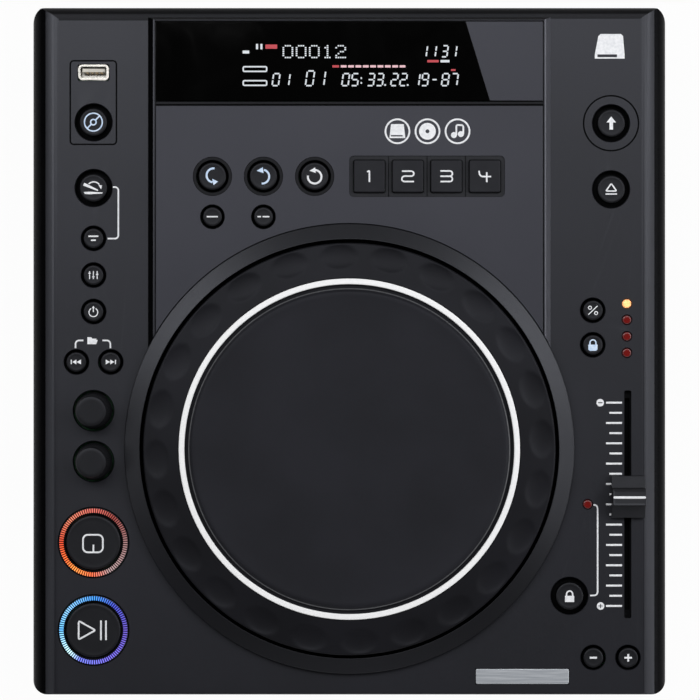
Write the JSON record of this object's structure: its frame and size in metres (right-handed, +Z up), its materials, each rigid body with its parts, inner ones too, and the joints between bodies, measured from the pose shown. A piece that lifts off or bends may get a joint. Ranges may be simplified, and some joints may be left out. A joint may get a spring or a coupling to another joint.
{
  "type": "tabletop dj cd player",
  "caption": "Wedge-shaped tabletop disc player with a large jog wheel, push buttons, pads, knobs, a pitch fader, a display window and a disc slot in its front wall.",
  "frame": {"origin": "centre of the bounding box, on the plane that the rubber feet stand on", "axes": "+Z up, +Y to the rear wall, +X to the user's right as they stand in front of it"},
  "size_m": [0.32, 0.354, 0.1056],
  "materials": {
    "housing_plastic": "fine-textured black moulded plastic",
    "panel_plastic": "satin dark grey moulded plastic",
    "cap_plastic": "soft-touch dark plastic caps",
    "pad_rubber": "matt dark silicone rubber",
    "window_acrylic": "glossy black acrylic",
    "black_gloss": "glossy black plastic",
    "touch_vinyl": "fine-grained black touch surface",
    "accent_silver": "bright silver ring",
    "bright_steel": "bright nickel-plated or brushed steel",
    "zinc_sheet": "zinc-plated sheet steel",
    "black_steel": "black powder-coated sheet steel",
    "foot_rubber": "black rubber",
    "circuit_board": "green circuit board with its parts",
    "cue_light": "clear fluted ring lit orange red",
    "play_light": "clear fluted ring lit blue"
  },
  "bodies": {
    "housing": {"top_shell": "housing_plastic", "display_window": "window_acrylic", "centre_panel": "panel_plastic", "jog_surround": "panel_plastic", "jog_carrier": "zinc_sheet", "cue_light_ring": "cue_light", "play_light_ring": "play_light", "pitch_fader_body": "zinc_sheet", "usb_socket": "bright_steel", "badge_plate": "bright_steel", "left_key_board": "circuit_board", "right_key_board": "circuit_board", "display_board": "circuit_board", "slot_bezel": "black_gloss", "drive_chassis": "zinc_sheet", "base_pan": "black_steel", "foot_front_left": "foot_rubber", "foot_front_right": "foot_rubber", "foot_rear_left": "foot_rubber", "foot_rear_right": "foot_rubber", "rear_panel": "black_steel", "power_inlet": "black_gloss", "main_board": "circuit_board", "power_supply": "circuit_board"},
    "jog_wheel": {"jog_rim": "housing_plastic", "jog_accent_ring": "accent_silver", "jog_touch_plate": "touch_vinyl", "jog_spindle": "bright_steel"},
    "search_knob": {"search_knob": "cap_plastic"},
    "track_knob": {"track_knob": "cap_plastic"},
    "pitch_fader": {"pitch_fader_cap": "cap_plastic"},
    "power_rocker": {"power_rocker": "black_gloss"},
    "feed_roller": {"feed_roller": "foot_rubber"},
    "disc_spindle": {"disc_spindle": "black_gloss"},
    "laser_sled": {"laser_sled": "black_gloss"},
    "mode_button": {"mode_button": "cap_plastic"},
    "scratch_button": {"scratch_button": "cap_plastic"},
    "bank_button": {"bank_button": "cap_plastic"},
    "controller_button": {"controller_button": "cap_plastic"},
    "time_button": {"time_button": "cap_plastic"},
    "skip_back_button": {"skip_back_button": "cap_plastic"},
    "skip_forward_button": {"skip_forward_button": "cap_plastic"},
    "cue_button": {"cue_button": "cap_plastic"},
    "play_button": {"play_button": "cap_plastic"},
    "shift_button": {"shift_button": "cap_plastic"},
    "eject_button": {"eject_button": "cap_plastic"},
    "pitch_range_button": {"pitch_range_button": "cap_plastic"},
    "key_lock_button": {"key_lock_button": "cap_plastic"},
    "pitch_lock_button": {"pitch_lock_button": "cap_plastic"},
    "bend_minus_button": {"bend_minus_button": "cap_plastic"},
    "bend_plus_button": {"bend_plus_button": "cap_plastic"},
    "loop_in_button": {"loop_in_button": "cap_plastic"},
    "loop_out_button": {"loop_out_button": "cap_plastic"},
    "reloop_button": {"reloop_button": "cap_plastic"},
    "sample_button": {"sample_button": "cap_plastic"},
    "sampler_play_button": {"sampler_play_button": "cap_plastic"},
    "pad_1": {"pad_1": "pad_rubber"},
    "pad_2": {"pad_2": "pad_rubber"},
    "pad_3": {"pad_3": "pad_rubber"},
    "pad_4": {"pad_4": "pad_rubber"}
  },
  "joints": [
    {"name": "jog_spin", "type": "hinge", "parent": "housing", "child": "jog_wheel", "pos_m": [0, -0.05375, 0.0857], "axis": [0, -0.0785, 0.9969], "continuous": true},
    {"name": "search_spin", "type": "hinge", "parent": "housing", "child": "search_knob", "pos_m": [-0.1285, -0.03482, 0.08719], "axis": [0, -0.0785, 0.9969], "continuous": true},
    {"name": "track_spin", "type": "hinge", "parent": "housing", "child": "track_knob", "pos_m": [-0.1285, -0.06024, 0.08519], "axis": [0, -0.0785, 0.9969], "continuous": true},
    {"name": "pitch_slide", "type": "slide", "parent": "housing", "child": "pitch_fader", "axis": [0, 0.9969, 0.0785], "range_m": [-0.0539, 0.0461]},
    {"name": "power_rock", "type": "hinge", "parent": "housing", "child": "power_rocker", "pos_m": [-0.084, 0.16647, 0.034], "axis": [1, 0, 0], "range_deg": [0, 16]},
    {"name": "feed_spin", "type": "hinge", "parent": "housing", "child": "feed_roller", "pos_m": [0, -0.16467, 0.0376], "axis": [1, 0, 0], "continuous": true},
    {"name": "disc_spin", "type": "hinge", "parent": "housing", "child": "disc_spindle", "pos_m": [0, -0.09967, 0.042], "axis": [0, 0, 1], "continuous": true},
    {"name": "sled_slide", "type": "slide", "parent": "housing", "child": "laser_sled", "axis": [0, 1, 0], "range_m": [0, 0.033]},
    {"name": "mode_press", "type": "slide", "parent": "housing", "child": "mode_button", "axis": [0, 0.0785, -0.9969], "range_m": [0, 0.0008], "stiffness_N_per_m": 1500},
    {"name": "scratch_press", "type": "slide", "parent": "housing", "child": "scratch_button", "axis": [0, 0.0785, -0.9969], "range_m": [0, 0.0008], "stiffness_N_per_m": 1500},
    {"name": "bank_press", "type": "slide", "parent": "housing", "child": "bank_button", "axis": [0, 0.0785, -0.9969], "range_m": [0, 0.0008], "stiffness_N_per_m": 1500},
    {"name": "controller_press", "type": "slide", "parent": "housing", "child": "controller_button", "axis": [0, 0.0785, -0.9969], "range_m": [0, 0.0008], "stiffness_N_per_m": 1500},
    {"name": "time_press", "type": "slide", "parent": "housing", "child": "time_button", "axis": [0, 0.0785, -0.9969], "range_m": [0, 0.0008], "stiffness_N_per_m": 1500},
    {"name": "skip_back_press", "type": "slide", "parent": "housing", "child": "skip_back_button", "axis": [0, 0.0785, -0.9969], "range_m": [0, 0.0008], "stiffness_N_per_m": 1500},
    {"name": "skip_forward_press", "type": "slide", "parent": "housing", "child": "skip_forward_button", "axis": [0, 0.0785, -0.9969], "range_m": [0, 0.0008], "stiffness_N_per_m": 1500},
    {"name": "cue_press", "type": "slide", "parent": "housing", "child": "cue_button", "axis": [0, 0.0785, -0.9969], "range_m": [0, 0.0008], "stiffness_N_per_m": 1500},
    {"name": "play_press", "type": "slide", "parent": "housing", "child": "play_button", "axis": [0, 0.0785, -0.9969], "range_m": [0, 0.0008], "stiffness_N_per_m": 1500},
    {"name": "shift_press", "type": "slide", "parent": "housing", "child": "shift_button", "axis": [0, 0.0785, -0.9969], "range_m": [0, 0.0008], "stiffness_N_per_m": 1500},
    {"name": "eject_press", "type": "slide", "parent": "housing", "child": "eject_button", "axis": [0, 0.0785, -0.9969], "range_m": [0, 0.0008], "stiffness_N_per_m": 1500},
    {"name": "pitch_range_press", "type": "slide", "parent": "housing", "child": "pitch_range_button", "axis": [0, 0.0785, -0.9969], "range_m": [0, 0.0008], "stiffness_N_per_m": 1500},
    {"name": "key_lock_press", "type": "slide", "parent": "housing", "child": "key_lock_button", "axis": [0, 0.0785, -0.9969], "range_m": [0, 0.0008], "stiffness_N_per_m": 1500},
    {"name": "pitch_lock_press", "type": "slide", "parent": "housing", "child": "pitch_lock_button", "axis": [0, 0.0785, -0.9969], "range_m": [0, 0.0008], "stiffness_N_per_m": 1500},
    {"name": "bend_minus_press", "type": "slide", "parent": "housing", "child": "bend_minus_button", "axis": [0, 0.0785, -0.9969], "range_m": [0, 0.0008], "stiffness_N_per_m": 1500},
    {"name": "bend_plus_press", "type": "slide", "parent": "housing", "child": "bend_plus_button", "axis": [0, 0.0785, -0.9969], "range_m": [0, 0.0008], "stiffness_N_per_m": 1500},
    {"name": "loop_in_press", "type": "slide", "parent": "housing", "child": "loop_in_button", "axis": [0, 0.0785, -0.9969], "range_m": [0, 0.0008], "stiffness_N_per_m": 1500},
    {"name": "loop_out_press", "type": "slide", "parent": "housing", "child": "loop_out_button", "axis": [0, 0.0785, -0.9969], "range_m": [0, 0.0008], "stiffness_N_per_m": 1500},
    {"name": "reloop_press", "type": "slide", "parent": "housing", "child": "reloop_button", "axis": [0, 0.0785, -0.9969], "range_m": [0, 0.0008], "stiffness_N_per_m": 1500},
    {"name": "sample_press", "type": "slide", "parent": "housing", "child": "sample_button", "axis": [0, 0.0785, -0.9969], "range_m": [0, 0.0008], "stiffness_N_per_m": 1500},
    {"name": "sampler_play_press", "type": "slide", "parent": "housing", "child": "sampler_play_button", "axis": [0, 0.0785, -0.9969], "range_m": [0, 0.0008], "stiffness_N_per_m": 1500},
    {"name": "pad_1_press", "type": "slide", "parent": "housing", "child": "pad_1", "axis": [0, 0.0785, -0.9969], "range_m": [0, 0.0008], "stiffness_N_per_m": 1800},
    {"name": "pad_2_press", "type": "slide", "parent": "housing", "child": "pad_2", "axis": [0, 0.0785, -0.9969], "range_m": [0, 0.0008], "stiffness_N_per_m": 1800},
    {"name": "pad_3_press", "type": "slide", "parent": "housing", "child": "pad_3", "axis": [0, 0.0785, -0.9969], "range_m": [0, 0.0008], "stiffness_N_per_m": 1800},
    {"name": "pad_4_press", "type": "slide", "parent": "housing", "child": "pad_4", "axis": [0, 0.0785, -0.9969], "range_m": [0, 0.0008], "stiffness_N_per_m": 1800}
  ]
}
